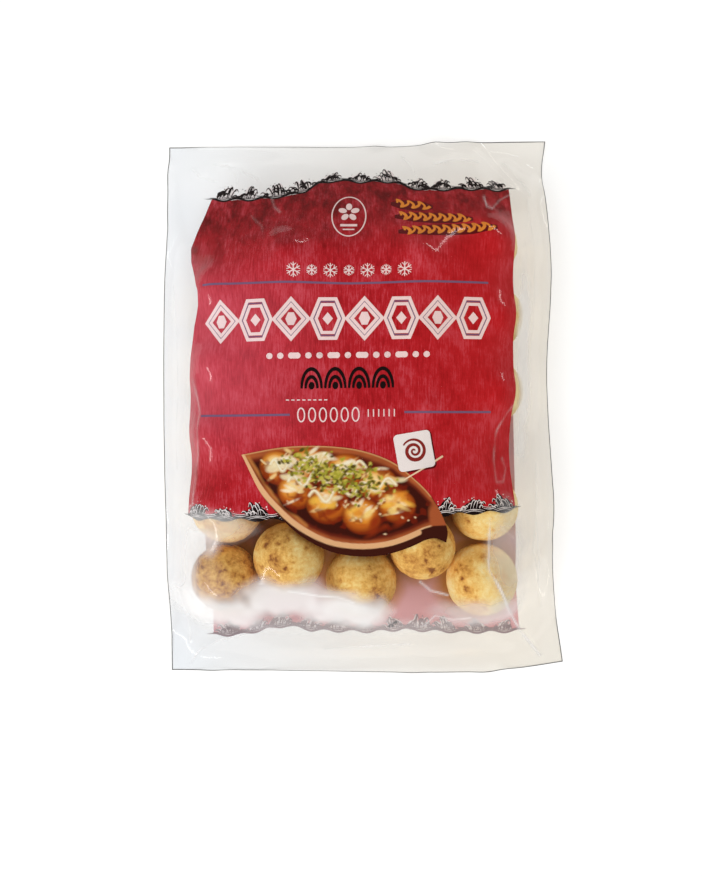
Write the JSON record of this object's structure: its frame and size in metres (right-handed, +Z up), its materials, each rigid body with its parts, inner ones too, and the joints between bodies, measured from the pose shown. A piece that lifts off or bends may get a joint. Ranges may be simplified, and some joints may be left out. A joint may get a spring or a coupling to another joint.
{
  "type": "bag of frozen takoyaki",
  "caption": "Sealed clear film pouch of frozen octopus batter balls lying flat, printed side up, with a red panel over most of its front and a clear window below.",
  "frame": {"origin": "on the table, under the middle of the pouch's outline", "axes": "+X across the pouch, +Y towards its top seal, +Z up out of the printed side"},
  "size_m": [0.1998, 0.268, 0.0407],
  "materials": {
    "clear_film": "clear glossy packing film, faintly milky, creased at its margins",
    "red_print": "deep red ink with fine upright brush streaks, under gloss film",
    "dark_print": "black ink line work",
    "white_print": "opaque white ink",
    "colour_print": "yellow, brown, green and blue-grey inks in plain fields",
    "takoyaki": "baked batter: golden, matt, mottled brown, with small pits"
  },
  "bodies": {
    "root": {"sealed_bag": "clear_film"}
  },
  "joints": []
}
